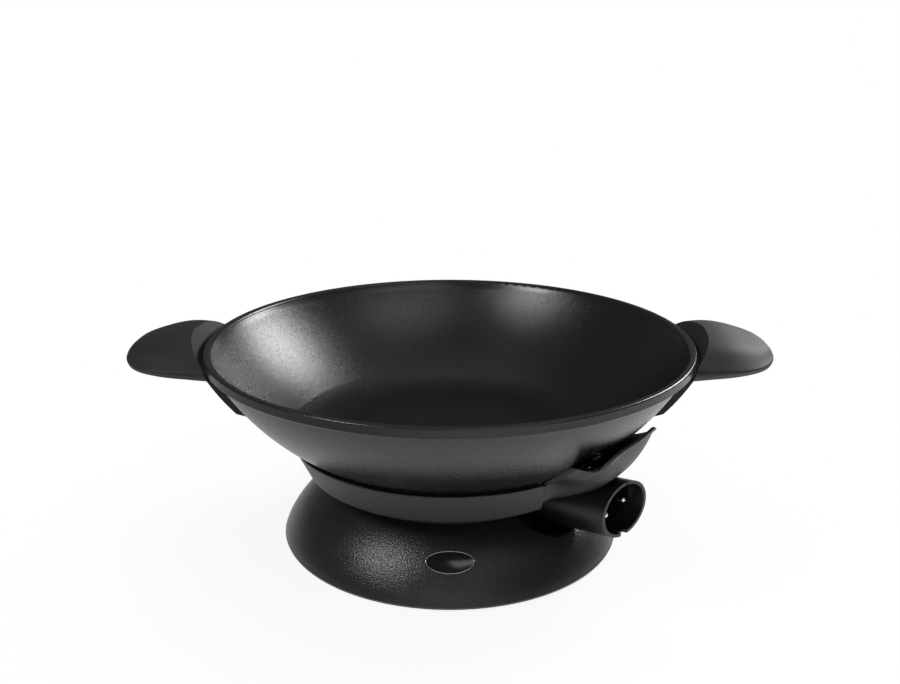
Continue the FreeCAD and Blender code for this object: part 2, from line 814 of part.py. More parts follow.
def make_handle_screw(turn, side):
    seat = wall_point(handle_screw_height, strap_offset + strap_thickness - screw_sink)
    body = screw(screw_head_radius, 8.0, seat, wall_normal(handle_screw_height) * -1)
    return at_azimuth(body, screw_angle() * side + turn)


# The flare bows outward between its top and its foot, and its skin is set off from the same circle.
flare_head = rz(flare_top_radius, flare_top)
flare_end = rz(flare_foot_radius, flare_foot_height)
flare_chord = flare_end - flare_head
flare_arc_radius = flare_chord.Length ** 2 / (8 * flare_bow) + flare_bow / 2
flare_out = V(-flare_chord.z, 0, flare_chord.x).normalize()
flare_centre = flare_head + flare_chord * 0.5 + flare_out * (flare_bow - flare_arc_radius)


def flare_point(height, depth):
    # the point this deep under the flare's face, at this height
    radius = flare_arc_radius - depth
    return rz(flare_centre.x + math.sqrt(radius ** 2 - (height - flare_centre.z) ** 2), height)


def base_solid():
    # the pedestal's outer shape, filled
    square = (flare_end - flare_centre).normalize()
    deck = set_off(dish_path(), dish_thickness + small_gap)
    return region(rz(0, base_bottom), [
        (rz(0, deck_top),),
        (rz(dish_floor_radius + 1.4, deck_top),),
        (deck[3],),
        (deck[2],),
        (flare_head,),
        (flare_point((flare_top + flare_foot_height) / 2, 0), flare_end),
        swing(flare_end, V(square.z, 0, -square.x), rz(base_wide_radius, base_wide_height)),
        (rz(base_wide_radius - 0.7, base_wide_height - 1.7), rz(base_wide_radius - 2.2, base_bottom)),
    ])


def base_hollow():
    ceiling = deck_top - deck_thickness
    shoulder = dish_drop - 3.5
    foot = flare_foot_height - 1
    return region(rz(0, base_bottom - 1), [
        (rz(0, ceiling),),
        (rz(dish_floor_radius + 3, ceiling),),
        (rz(dish_drop_radius + 1.0, shoulder),),
        (flare_point(shoulder, base_wall),),
        (flare_point((shoulder + foot) / 2, base_wall), flare_point(foot, base_wall)),
        (rz(base_wide_radius - base_wall - 1.0, base_wide_height),),
        (rz(base_wide_radius - base_wall - 1.5, base_bottom - 1),),
    ])


def flare_band(near, far):
    # the skin of the flare between two depths
    middle = (flare_top + flare_foot_height) / 2
    return turned(region(flare_point(flare_top, near), [
        (flare_point(middle, near), flare_point(flare_foot_height, near)),
        (flare_point(flare_foot_height, far),),
        (flare_point(middle, far), flare_point(flare_top, far)),
    ]))


def badge_bar(margin):
    ellipse = Part.Ellipse(origin, badge_half_width + margin, badge_half_height + margin)
    face = Part.Face(Part.Wire(ellipse.toShape()))
    body = face.extrude(V(0, 0, 12))
    body.translate(V(0, 0, -6))
    place = flare_point(badge_height, 0)
    square = place - flare_centre
    body.rotate(origin, V(1, 0, 0), math.degrees(math.atan2(square.x, square.z)))
    body.translate(V(0, -place.x, place.z))
    return body


plate_post_azimuths = [46.0, 166.0, 286.0]
dish_screw_azimuths = [dish_screw_first + 120 * index for index in range(3)]
foot_azimuths = [90 * index for index in range(4)]


def scoop_room(margin):
    # a channel that opens out along the tube
    wide = Part.makeCone(
        scoop_start_radius + margin, scoop_end_radius + margin, scoop_length, rz(scoop_start - margin, 0), V(1, 0, 0))
    return in_tube(wide)


def make_pedestal():
    solid = turned(base_solid())
    shell = solid.cut(turned(base_hollow()))
    additions = [scoop_room(trough_wall)]
    cuts = [scoop_room(0)]
    plate_top = foot_height + plate_thickness
    for azimuth in plate_post_azimuths:
        post = rod(plate_post_girth, rz(plate_post_circle, plate_top), 50)
        hole = rod(screw_shank_radius + thread_gap, rz(plate_post_circle, plate_top - 1), 14)
        additions.append(at_azimuth(post, azimuth))
        cuts.append(at_azimuth(hole, azimuth))
    for azimuth in dish_screw_azimuths:
        post = rod(plate_post_girth, rz(dish_screw_circle, 20), 20)
        hole = rod(screw_shank_radius + thread_gap, rz(dish_screw_circle, 22), 20)
        additions.append(at_azimuth(post, azimuth))
        cuts.append(at_azimuth(hole, azimuth))
    inside = [addition.common(solid) for addition in additions]
    cuts.append(rod(dish_recess_radius + dish_thickness + 1, V(0, 0, 20), 30))
    cuts.append(badge_bar(0.15).common(flare_band(-1, 1.8)))
    return without(joined([shell] + inside), cuts)


def make_plate():
    body = rod(plate_radius, V(0, 0, foot_height), plate_thickness)
    cuts = []
    for azimuth in foot_azimuths:
        hole = rod(3.0, rz(foot_circle, 0), 10)
        cuts.append(at_azimuth(hole, azimuth))
    for azimuth in plate_post_azimuths:
        hole = rod(screw_shank_radius + thread_gap, rz(plate_post_circle, 0), 10)
        cuts.append(at_azimuth(hole, azimuth))
    return without(body, cuts)


def make_foot(azimuth):
    face = polygon([
        rz(0, 0),
        rz(foot_radius - 0.8, 0),
        rz(foot_radius, 0.8),
        rz(foot_radius, foot_height),
        rz(2.9, foot_height),
        rz(2.9, foot_height + plate_thickness + 1.2),
        rz(0, foot_height + plate_thickness + 1.2),
    ])
    body = turned(face)
    body.translate(rz(foot_circle, 0))
    return at_azimuth(body, azimuth)


def make_plate_screw(azimuth):
    body = screw(screw_head_radius, 12.0, rz(plate_post_circle, foot_height), up)
    return at_azimuth(body, azimuth)


def dish_path():
    return [
        rz(dish_rim_radius, dish_rim),
        rz(dish_foot_radius, dish_foot),
        rz(dish_shelf_radius, dish_shelf),
        rz(dish_drop_radius, dish_drop),
        rz(dish_floor_radius, dish_floor),
        rz(dish_recess_radius, dish_floor),
        rz(dish_recess_radius - 1.5, dish_floor - dish_recess_depth),
        rz(0, dish_floor - dish_recess_depth),
    ]


def rounded(points, distance):
    # the path with round corners, moved square to itself: its steps from the first point to the last
    steps = []
    for before, point, after in zip(points, points[1:], points[2:]):
        come = (point - before).normalize()
        leave = (after - point).normalize()
        first = V(-come.z, 0, come.x)
        last = V(-leave.z, 0, leave.x)
        back = dish_corner_round * math.tan(come.getAngle(leave) / 2)
        side = math.copysign(1, come.x * leave.z - come.z * leave.x)
        centre = point - come * back + first * (side * dish_corner_round)
        steps.append((point - come * back + first * distance,))
        middle = centre - (first + last).normalize() * (side * dish_corner_round - distance)
        steps.append((middle, point + leave * back + last * distance))
    return steps


def set_off(points, distance):
    # the same path moved square to itself, corner by corner
    moved = []
    for index, point in enumerate(points):
        square = V(0, 0, 0)
        if index > 0:
            run = (point - points[index - 1]).normalize()
            before = V(-run.z, 0, run.x)
            square = before
        if index < len(points) - 1:
            run = (points[index + 1] - point).normalize()
            after = V(-run.z, 0, run.x)
            square = after if index == 0 else (square + after).normalize()
        scale = distance if index in (0, len(points) - 1) else distance / square.dot(after)
        moved.append(point + square * scale)
    return moved


def make_dish():
    path = dish_path()
    face_start = path[0]
    under_end = rz(0, path[-1].z - dish_thickness)
    under = rounded(path[::-1], -dish_thickness)
    rim_under = set_off(path, dish_thickness)[0]
    face = region(face_start, rounded(path, 0) + [(path[-1],), (under_end,)] + under + [(rim_under,)])
    cuts = [notch_room()]
    cuts.append(rod(screw_shank_radius + thread_gap, V(0, 0, 20), 30))
    for azimuth in dish_screw_azimuths:
        hole = rod(screw_shank_radius + thread_gap, rz(dish_screw_circle, 20), 30)
        cuts.append(at_azimuth(hole, azimuth))
    return without(turned(face), cuts)


def make_dish_screw(azimuth):
    body = screw(screw_head_radius, 11.0, rz(dish_screw_circle, dish_floor), up * -1)
    return at_azimuth(body, azimuth)


def make_clip():
    floor = dish_floor - dish_recess_depth
    level = floor + clip_wire_radius
    ring = Part.makeTorus(clip_ring_radius, clip_wire_radius, V(0, 0, level))
    shapes = [ring]
    for side in (-1, 1):
        reach = math.sqrt(clip_ring_radius ** 2 - clip_loop_spread ** 2)
        points = [
            V(-reach, 0, level), V(-4.4, 0, level + 1.4), V(-2.4, 0, level + 4.6), V(-4.6, 0, level + 7.2),
            V(0, 0, level + clip_height - 2 * clip_wire_radius),
            V(4.6, 0, level + 7.2), V(2.4, 0, level + 4.6), V(4.4, 0, level + 1.4), V(reach, 0, level),
        ]
        curve = Part.BSplineCurve()
        curve.interpolate([point + V(0, side * clip_loop_spread, 0) for point in points])
        path = Part.Wire(curve.toShape())
        start = curve.value(curve.FirstParameter)
        ahead = curve.tangent(curve.FirstParameter)[0]
        circle = Part.Wire(Part.makeCircle(clip_wire_radius * 0.95, start, ahead))
        shapes.append(path.makePipeShell([circle], True, False))
    body = joined(shapes)
    body.rotate(origin, up, 20)
    return body


def make_latch_nut():
    floor = dish_floor - dish_recess_depth - dish_thickness
    corners = [V(4 * math.cos(math.radians(60 * i)), 4 * math.sin(math.radians(60 * i)), floor - 3) for i in range(7)]
    body = Part.Face(Part.makePolygon(corners)).extrude(V(0, 0, 3))
    return body.cut(rod(screw_shank_radius + thread_gap, V(0, 0, floor - 4), 6))


parts = {
    "pan": make_pan(),
    "element_skirt": make_skirt(),
    "bottom_cover": make_cover(),
    "heating_element": make_element(),
    "connector_shroud": make_tube(),
    "terminal_block": make_terminal_block(),
    "probe_sleeve": make_probe_sleeve(),
    "heat_guard": make_guard(),
    "handle_right": make_handle(0),
    "handle_left": make_handle(180),
    "bracket_right": make_bracket(0),
    "bracket_left": make_bracket(180),
    "base_pedestal": make_pedestal(),
    "base_plate": make_plate(),
    "dish": make_dish(),
    "latch_clip": make_clip(),
    "latch_nut": make_latch_nut(),
}
parts["latch_screw"] = screw(screw_head_radius * 0.9, 9.0, V(0, 0, dish_floor - dish_recess_depth), up * -1)
parts["badge_plate"] = badge_bar(-badge_rim_width).common(flare_band(0.6, 1.8))
parts["badge_rim"] = badge_bar(0).cut(badge_bar(-badge_rim_width)).common(flare_band(0.1, 1.8))
parts["tongue_screw"] = at_azimuth(
    screw(screw_head_radius, 9.0, rz(tongue_screw, tongue_top - tongue_thickness), up), tube_azimuth)
for number, azimuth in enumerate(rivet_azimuths, 1):
    parts["skirt_rivet_%d" % number] = make_rivet(azimuth)
for number, azimuth in enumerate(cover_screw_azimuths, 1):
    parts["cover_screw_%d" % number] = make_cover_screw(azimuth)
for number, azimuth in enumerate(dish_screw_azimuths, 1):
    parts["dish_screw_%d" % number] = make_dish_screw(azimuth)
for number, azimuth in enumerate(plate_post_azimuths, 1):
    parts["plate_screw_%d" % number] = make_plate_screw(azimuth)
for number, azimuth in enumerate(foot_azimuths, 1):
    parts["rubber_foot_%d" % number] = make_foot(azimuth)
for number, side in enumerate((-1, 1), 1):
    parts["contact_pin_%d" % number] = make_pin(side)
for name, turn in (("right", 0), ("left", 180)):
    for number, side in enumerate((-1, 1), 1):
        parts["handle_screw_%s_%d" % (name, number)] = make_handle_screw(turn, side)

os.makedirs("parts", exist_ok=True)
for name, shape in parts.items():
    shape.exportStep("parts/%s.step" % name)
    print(name, "valid", shape.isValid(), "solids", len(shape.Solids), "faces", len(shape.Faces))
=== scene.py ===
import json
import math
import bmesh
import bpy
import numpy as np
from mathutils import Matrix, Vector


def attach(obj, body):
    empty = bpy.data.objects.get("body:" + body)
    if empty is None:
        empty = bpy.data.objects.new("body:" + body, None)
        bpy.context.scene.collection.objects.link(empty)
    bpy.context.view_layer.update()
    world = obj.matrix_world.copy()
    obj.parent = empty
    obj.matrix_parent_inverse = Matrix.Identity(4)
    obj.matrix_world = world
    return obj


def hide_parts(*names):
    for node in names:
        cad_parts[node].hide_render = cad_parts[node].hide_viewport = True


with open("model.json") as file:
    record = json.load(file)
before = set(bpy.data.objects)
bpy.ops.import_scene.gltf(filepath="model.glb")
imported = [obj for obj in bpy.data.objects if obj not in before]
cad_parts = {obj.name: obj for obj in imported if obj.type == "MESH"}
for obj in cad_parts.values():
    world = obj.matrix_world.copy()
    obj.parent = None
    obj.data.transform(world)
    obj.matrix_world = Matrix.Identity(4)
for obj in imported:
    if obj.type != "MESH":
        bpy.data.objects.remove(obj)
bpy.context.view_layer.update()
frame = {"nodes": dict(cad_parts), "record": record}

print("frame loaded:", len(frame["nodes"]), "nodes")

# the camera, metres and degrees
view = {
    "distance": 0.720,              # in front of the wok's axis
    "height": 0.3765,
    "pitch": 17.43,                 # down
    "lens": 1007.8 * 36 / 900,      # focal length for a frame of 900 pixels on a 36 mm sensor
}
cameraData = bpy.data.cameras.new("camera")
cameraData.lens = view["lens"]
cameraData.sensor_width = 36
cameraData.clip_start = 0.01
camera = bpy.data.objects.new("camera", cameraData)
bpy.context.scene.collection.objects.link(camera)
camera.location = (0, -view["distance"], view["height"])
camera.rotation_euler = (math.radians(90 - view["pitch"]), 0, 0)
bpy.context.scene.camera = camera
bpy.context.scene.view_settings.view_transform = "Standard"
print("camera placed")


class Field:
    # a number, colour or shader that varies over a surface; sums and products of numbers become Math nodes
    def __init__(self, tree, socket):
        self.tree = tree
        self.socket = socket

    def maths(self, operation, other, swapped=False):
        values = {0: other, 1: self} if swapped else {0: self, 1: other}
        return self.tree.node("ShaderNodeMath", {"operation": operation}, values)

    def __add__(self, other): return self.maths("ADD", other)
    def __radd__(self, other): return self.maths("ADD", other, True)
    def __sub__(self, other): return self.maths("SUBTRACT", other)
    def __rsub__(self, other): return self.maths("SUBTRACT", other, True)
    def __mul__(self, other): return self.maths("MULTIPLY", other)
    def __rmul__(self, other): return self.maths("MULTIPLY", other, True)
    def __pow__(self, other): return self.maths("POWER", other)

    def atLeast(self, other): return self.maths("MAXIMUM", other)

    def between(self, low, high):
        # smooth step from 0 to 1 as the field goes from low to high
        return self.tree.node("ShaderNodeMapRange", {"interpolation_type": "SMOOTHSTEP"}, {
            "Value": self, "From Min": low, "From Max": high})


class Tree:
    # any node of a material or of the world, made by one method
    def __init__(self, nodeTree):
        self.nodeTree = nodeTree

    def node(self, kind, settings=None, values=None, out=0):
        made = self.nodeTree.nodes.new(kind)
        for key, value in (settings or {}).items():
            setattr(made, key, value)
        for key, value in (values or {}).items():
            if isinstance(value, Field):
                self.nodeTree.links.new(value.socket, made.inputs[key])
            else:
                made.inputs[key].default_value = value
        return Field(self, made.outputs[out])

    def either(self, factor, first, second):
        # one of two shaders, or a share of each
        return self.node("ShaderNodeMixShader", values={0: factor, 1: first, 2: second})

    def surface(self, name, field):
        self.nodeTree.links.new(field.socket, self.nodeTree.nodes[name].inputs["Surface"])


class Finish(Tree):
    # a material: constants sit on the shader's own sockets, what varies comes in as fields
    def __init__(self, name, **constants):
        self.material = bpy.data.materials.new(name)
        self.material.use_nodes = True
        super().__init__(self.material.node_tree)
        self.shader = self.nodeTree.nodes["Principled BSDF"]
        for key, value in constants.items():
            self.shader.inputs[key.replace("_", " ")].default_value = value
        self.place = None

    def where(self):
        # the point in the object's own metres
        if self.place is None:
            self.place = self.node("ShaderNodeTexCoord", out="Object")
        return self.place

    def axis(self, name):
        return self.node("ShaderNodeSeparateXYZ", values={"Vector": self.where()}, out=name)

    def noise(self, scale, detail=3.0, roughness=0.5, stretch=None):
        place = self.where()
        if stretch:
            place = self.node("ShaderNodeVectorMath", {"operation": "MULTIPLY"}, {0: place, 1: stretch})
        return self.node("ShaderNodeTexNoise", values={
            "Vector": place, "Scale": scale, "Detail": detail, "Roughness": roughness}, out="Fac")

    def cells(self, scale, out="Distance"):
        return self.node("ShaderNodeTexVoronoi", values={"Vector": self.where(), "Scale": scale}, out=out)

    def mix(self, factor, first, second):
        colours = {"Factor": factor, 6: first, 7: second}
        return self.node("ShaderNodeMix", {"data_type": "RGBA"}, colours, out=2)

    def bump(self, height, strength, distance, under=None):
        values = {"Height": height, "Strength": strength, "Distance": distance}
        if under is not None:
            values["Normal"] = under
        return self.node("ShaderNodeBump", values=values)

    def feed(self, key, field):
        self.nodeTree.links.new(field.socket, self.shader.inputs[key])


def grey(level, tint=(0.95, 1.0, 1.07)):
    # a grey with a touch of blue
    return (level * tint[0], level * tint[1], level * tint[2], 1.0)


# the pan's sprayed coating: metres for heights, repeats per metre for scales
coating = {
    "level": 0.0070, "roughness": 0.26,
    # paler specks, in a few of the cells
    "speckScale": 1400.0, "speckShare": 0.35, "speckGrey": 5.0,
    # orange peel that breaks the highlights up, and a finer grain under it
    "peelScale": 820.0, "peelStrength": 0.25, "peelDepth": 0.0005,
    "grainScale": 1700.0, "grainStrength": 0.26, "grainDepth": 0.0004,
    # between these heights they fade, as the lip is rubbed smoother
    "lipFrom": 0.1465, "lipTo": 0.1500, "lipFade": 0.7,
}


def coatingFinish(name):
    finish = Finish(name, Specular_IOR_Level=0.5)
    specks = 1 - finish.cells(coating["speckScale"]).between(0.10, 0.22)
    tints = finish.cells(coating["speckScale"], out="Color")
    chosen = finish.node("ShaderNodeSeparateColor", values={"Color": tints}).between(0.80, 0.84)
    patches = finish.noise(22.0, 3.0)
    level = coating["level"]
    soft = finish.mix(patches, grey(level * 0.84), grey(level * 1.16))
    pale = grey(level * coating["speckGrey"])
    finish.feed("Base Color", finish.mix(specks * chosen * coating["speckShare"], soft, pale))
    finish.feed("Roughness", patches * 0.06 + finish.noise(420.0, 2.0) * 0.08 + (coating["roughness"] - 0.07))
    calm = 1 - finish.axis("Z").between(coating["lipFrom"], coating["lipTo"]) * coating["lipFade"]
    grain = finish.noise(coating["grainScale"], 2.0, 0.6) * calm
    peel = finish.noise(coating["peelScale"], 2.0, 0.55) * calm
    fine = finish.bump(grain, coating["grainStrength"], coating["grainDepth"])
    finish.feed("Normal", finish.bump(peel, coating["peelStrength"], coating["peelDepth"], fine))
    return finish.material


def sheetFinish(name, level, roughness):
    # baked enamel on drawn sheet: fine orange peel and a little dust in the gloss
    finish = Finish(name, Specular_IOR_Level=0.5)
    patches = finish.noise(30.0, 4.0)
    grain = finish.noise(1700.0, 2.0, 0.6)
    finish.feed("Base Color", finish.mix(patches, grey(level * 0.88), grey(level * 1.12)))
    finish.feed("Roughness", patches * 0.08 + grain * 0.08 + (roughness - 0.08))
    finish.feed("Normal", finish.bump(grain, 0.14, 0.0003))
    return finish.material


def mouldedFinish(name, level, roughness, grainScale=1300.0, grainStrength=0.25):
    # moulded plastic with a fine spark-eroded grain and soft wear in the gloss
    finish = Finish(name, Specular_IOR_Level=0.45)
    patches = finish.noise(26.0, 4.0)
    grain = finish.cells(grainScale) * 0.6 + finish.noise(grainScale * 1.4, 2.0) * 0.4
    finish.feed("Base Color", finish.mix(patches, grey(level * 0.88), grey(level * 1.12)))
    finish.feed("Roughness", patches * 0.09 + (roughness - 0.045))
    finish.feed("Normal", finish.bump(grain, grainStrength, 0.0004))
    return finish.material


def metalFinish(name, level, roughness, brush=None):
    # plated or brushed steel: brush is the stretch of the fine lines along X, Y and Z
    finish = Finish(name, Metallic=1.0)
    lines = finish.noise(900.0, 3.0, 0.6, stretch=brush) if brush else finish.noise(700.0, 3.0)
    stain = finish.noise(60.0, 3.0)
    finish.feed("Base Color", finish.mix(stain, grey(level * 0.9), grey(level * 1.05)))
    finish.feed("Roughness", lines * 0.16 + stain * 0.08 + (roughness - 0.12))
    finish.feed("Normal", finish.bump(lines, 0.08, 0.0002))
    return finish.material


def rubberFinish(name):
    # dull rubber with dust in its pores
    finish = Finish(name, Specular_IOR_Level=0.3)
    dust = finish.noise(240.0, 4.0)
    finish.feed("Base Color", finish.mix(dust, grey(0.018), grey(0.032)))
    finish.feed("Roughness", dust * 0.15 + 0.7)
    finish.feed("Normal", finish.bump(dust, 0.2, 0.0003))
    return finish.material


def glossFinish(name):
    # the badge's gloss face, with the faintest waviness
    finish = Finish(name, Specular_IOR_Level=0.5)
    waves = finish.noise(120.0, 2.0)
    finish.feed("Base Color", finish.mix(waves, grey(0.004), grey(0.006)))
    finish.feed("Roughness", waves * 0.04 + 0.12)
    finish.feed("Normal", finish.bump(waves, 0.03, 0.0002))
    return finish.material


finishes = {
    "pan": coatingFinish("panCoating"),
    "sheet": sheetFinish("blackEnamel", 0.0150, 0.46),
    "cover": mouldedFinish("coverPhenolic", 0.010, 0.50),
    "handle": mouldedFinish("handlePhenolic", 0.0105, 0.64, 1500.0, 0.18),
    "base": mouldedFinish("basePlastic", 0.0120, 0.30, 900.0, 0.60),
    "tube": mouldedFinish("tubePhenolic", 0.0060, 0.30, 1300.0, 0.30),
    "ceramic": mouldedFinish("insulator", 0.010, 0.6),
    "steel": metalFinish("brushedSteel", 0.62, 0.30, (1.0, 1.0, 0.06)),
    "screw": metalFinish("platedScrew", 0.60, 0.28),
    "rivet": metalFinish("blackenedRivet", 0.10, 0.42),
    "bright": metalFinish("brightWire", 0.86, 0.16),
    "badgeRim": metalFinish("badgeRimPlate", 0.30, 0.26),
    "badge": glossFinish("badgeGloss"),
    "rubber": rubberFinish("footRubber"),
}
finishOfSlot = {
    "pan_coating": "pan", "sheet_black": "sheet", "cover_black": "cover", "bakelite": "handle",
    "base_plastic": "base", "steel": "steel", "screw_steel": "screw", "rivet_dark": "rivet",
    "bright": "bright", "ceramic": "ceramic", "badge_black": "badge", "rubber": "rubber",
}
slotOfNode = {part["node"]: part["material_slot"] for part in frame["record"]["subparts"]}
for name, node in frame["nodes"].items():
    node.data.materials.clear()
    node.data.materials.append(finishes[finishOfSlot[slotOfNode[name]]])
frame["nodes"]["connector_shroud"].data.materials[0] = finishes["tube"]
print("finishes on", len(slotOfNode), "nodes")


def gridQuads(rows, columns, wrapRows, wrapColumns):
    # the four corners of each cell of a grid; wrapped where the last row or column meets the first
    a, b = np.meshgrid(np.arange(rows if wrapRows else rows - 1),
                       np.arange(columns if wrapColumns else columns - 1), indexing="ij")
    nextA, nextB = (a + 1) % rows, (b + 1) % columns
    corners = (a * columns + b, nextA * columns + b, nextA * columns + nextB, a * columns + nextB)
    return np.stack(corners, -1).reshape(-1, 4)


def gridMesh(name, *grids):
    # one mesh from several grids, each (points in metres, rows wrapped, columns wrapped, turned over);
    # points that coincide, as at a pole, are merged
    points, quads, count = [], [], 0
    for grid, wrapRows, wrapColumns, flip in grids:
        cells = gridQuads(*grid.shape[:2], wrapRows, wrapColumns)
        quads.append((cells[:, ::-1] if flip else cells) + count)
        points.append(grid.reshape(-1, 3))
        count += grid.shape[0] * grid.shape[1]
    points, quads = np.concatenate(points), np.concatenate(quads)
    mesh = bpy.data.meshes.new(name)
    mesh.vertices.add(len(points))
    mesh.vertices.foreach_set("co", np.ascontiguousarray(points, dtype=np.float32).ravel())
    mesh.loops.add(quads.size)
    mesh.loops.foreach_set("vertex_index", np.ascontiguousarray(quads, dtype=np.int32).ravel())
    mesh.polygons.add(len(quads))
    mesh.polygons.foreach_set("loop_start", np.arange(0, quads.size, 4, dtype=np.int32))
    mesh.update(calc_edges=True)
    shape = bmesh.new()
    shape.from_mesh(mesh)
    bmesh.ops.remove_doubles(shape, verts=shape.verts, dist=1e-6)
    shape.to_mesh(mesh)
    shape.free()
    mesh.polygons.foreach_set("use_smooth", np.ones(len(mesh.polygons), dtype=bool))
    mesh.update()
    return mesh


def sharpen(mesh, angle):
    # edges that turn by more than this many degrees are drawn hard
    shape = bmesh.new()
    shape.from_mesh(mesh)
    for edge in shape.edges:
        edge.smooth = edge.calc_face_angle(0.0) < math.radians(angle)
    shape.to_mesh(mesh)
    shape.free()
    return mesh


def openNode(node, name):
    # a merged copy of a node's mesh with its long edges cut, and its points in millimetres
    mesh = frame["nodes"][node].data.copy()
    mesh.name = name
    mesh.materials.clear()
    shape = bmesh.new()
    shape.from_mesh(mesh)
    bmesh.ops.remove_doubles(shape, verts=shape.verts, dist=1e-6)
    longEdges = [edge for edge in shape.edges if edge.calc_length() > 0.004]
    bmesh.ops.subdivide_edges(shape, edges=longEdges, cuts=2, use_grid_fill=True)
    bmesh.ops.triangulate(shape, faces=shape.faces)
    shape.to_mesh(mesh)
    shape.free()
    points = np.empty(len(mesh.vertices) * 3, dtype=np.float32)
    mesh.vertices.foreach_get("co", points)
    return mesh, points.reshape(-1, 3).astype(float) * 1000


def closeNode(mesh, points, angle):
    # puts the moved points back
    mesh.vertices.foreach_set("co", (points / 1000).astype(np.float32).ravel())
    mesh.polygons.foreach_set("use_smooth", np.ones(len(mesh.polygons), dtype=bool))
    mesh.update()
    return sharpen(mesh, angle)


def makePiece(name, mesh, finish, body, replaced=None):
    piece = bpy.data.objects.new(name, mesh)
    bpy.context.scene.collection.objects.link(piece)
    mesh.materials.append(finishes[finish])
    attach(piece, body)
    if replaced:
        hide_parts(replaced)
    print(name, "made with", len(mesh.polygons), "faces")


def turned(radius, turn, height):
    # points at these radii, angles and heights in millimetres, as metres
    return np.stack([radius * np.cos(turn), radius * np.sin(turn), height + 0 * radius * turn], -1) / 1000


def circleOf(count):
    return np.arange(count) * 2 * math.pi / count


def ease(share):
    # smooth step from 0 to 1
    share = np.clip(share, 0, 1)
    return share * share * (3 - 2 * share)


# the pedestal, all in millimetres: (radius, height) for the profile's corners
pedestal = {
    "holeRadius": 20.7, "deck": 34.8, "deckRadius": 73.4,
    "slope": (86.0, 39.8), "edge": (89.6, 45.4), "head": (90.6, 45.0),
    "end": (127.0, 8.0), "bow": 4.0,                    # the flare bows out between head and end
    "wide": (128.7, 3.6), "under": (128.0, 1.9), "bottom": (126.5, 1.2), "inside": (124.2, 1.2),
    "wall": 3.0, "ceiling": 31.8, "ceilingRadius": 75.0, "shoulder": (86.0, 37.5), "foot": 7.0,
    "fineFrom": 62.0, "fineTo": 114.0,                  # close rows between these radii, for the scoop
    "fineTurn": 27.0, "fineStep": 0.36, "coarseStep": 1.6,
    "hardEdge": 32.0,
}
scoop = {
    "azimuth": -35.0,                       # of the tube, in degrees
    "top": 51.5, "depth": 33.0, "lowest": 6.0,
    "middle": -4.0, "halfWidth": 32.0,      # across the tube
    "toe": 82.0, "toeReach": 33.0,          # along the tube: where the floor begins to rise, and over how far
    "back": 74.0, "backReach": 8.0,
    "roundness": 2.6, "backRoundness": 6.0, "bowl": 0.45, "outside": 60.0,
    "tubeTilt": 3.78, "tubeHeight": 45.32, "tubeRoom": 22.0, "aboveAll": 90.0,
    "lip": 4.0, "crease": 1.5,              # sizes of the fillets
    "wall": 2.5,
}
posts = {
    "girth": 4.2, "hole": 1.6, "sides": 28,     # radii outside and in
    "places": [                                 # radius, foot, head and azimuths of each set
        (95.0, 4.2, 33.0, (46, 166, 286)),
        (67.5, 20.0, 33.0, (16, 136, 256)),
    ],
}


def flareArc():
    # centre and radius of the circle through the flare's head and end that bows out by the given height
    head, end = np.array(pedestal["head"]), np.array(pedestal["end"])
    chord = end - head
    length = np.hypot(*chord)
    radius = length ** 2 / (8 * pedestal["bow"]) + pedestal["bow"] / 2
    out = np.array([-chord[1], chord[0]]) / length
    return head + chord / 2 + out * (pedestal["bow"] - radius), radius


def softMin(first, second, room):
    # the lower of two heights, with a fillet of about this size where they cross
    share = np.clip(0.5 + 0.5 * (second - first) / room, 0, 1)
    return second * (1 - share) + first * share - room * share * (1 - share)


def scoopFloor(x, y, grow):
    # height of the scoop at (x, y), grown by this much: top - depth * (1 - s) ** bowl, where s sums the powers
    # of how far the point lies from the middle line, past the toe's start and behind the back, each as a share
    # of its reach
    turn = math.radians(scoop["azimuth"])
    along = x * math.cos(turn) + y * math.sin(turn)
    across = y * math.cos(turn) - x * math.sin(turn)
    s = (np.abs(across - scoop["middle"]) / (scoop["halfWidth"] + grow)) ** scoop["roundness"]
    s = s + (np.maximum(along - scoop["toe"], 0) / (scoop["toeReach"] + grow)) ** scoop["roundness"]
    s = s + (np.maximum(scoop["back"] - along, 0) / (scoop["backReach"] + grow)) ** scoop["backRoundness"]
    bowl = scoop["top"] - (scoop["depth"] + grow) * np.clip(1 - s, 0, 1) ** scoop["bowl"]
    bowl = bowl + np.maximum(s - 1, 0) * scoop["outside"]
    # the trough that the tube needs: the underside of a rod with room round the tube
    tilt = math.radians(scoop["tubeTilt"])
    under = np.maximum((scoop["tubeRoom"] + grow) ** 2 - across ** 2, 0) ** 0.5
    rod = along * math.tan(tilt) + scoop["tubeHeight"] - under / math.cos(tilt)
    rod = np.where((under > 0) & (along > scoop["back"] - scoop["backReach"] - grow), rod, scoop["aboveAll"])
    return softMin(bowl, rod, scoop["crease"])


def run(start, end, steps):
    # points on a straight line from start up to, but not including, end
    t = np.arange(steps)[:, None] / steps
    return np.array(start)[None] * (1 - t) + np.array(end)[None] * t


def arcRun(centre, radius, start, end, steps):
    # the same on an arc
    a, b = (math.atan2(point[1] - centre[1], point[0] - centre[0]) for point in (start, end))
    t = a + (b - a) * np.arange(steps) / steps
    return np.stack([centre[0] + radius * np.cos(t), centre[1] + radius * np.sin(t)], -1)


def onArc(centre, radius, distance=None, height=None):
    # the point of the arc at this distance from the axis, or at this height
    if distance is None:
        distance = centre[0] + math.sqrt(radius ** 2 - (height - centre[1]) ** 2)
    return distance, centre[1] + math.sqrt(radius ** 2 - (distance - centre[0]) ** 2)


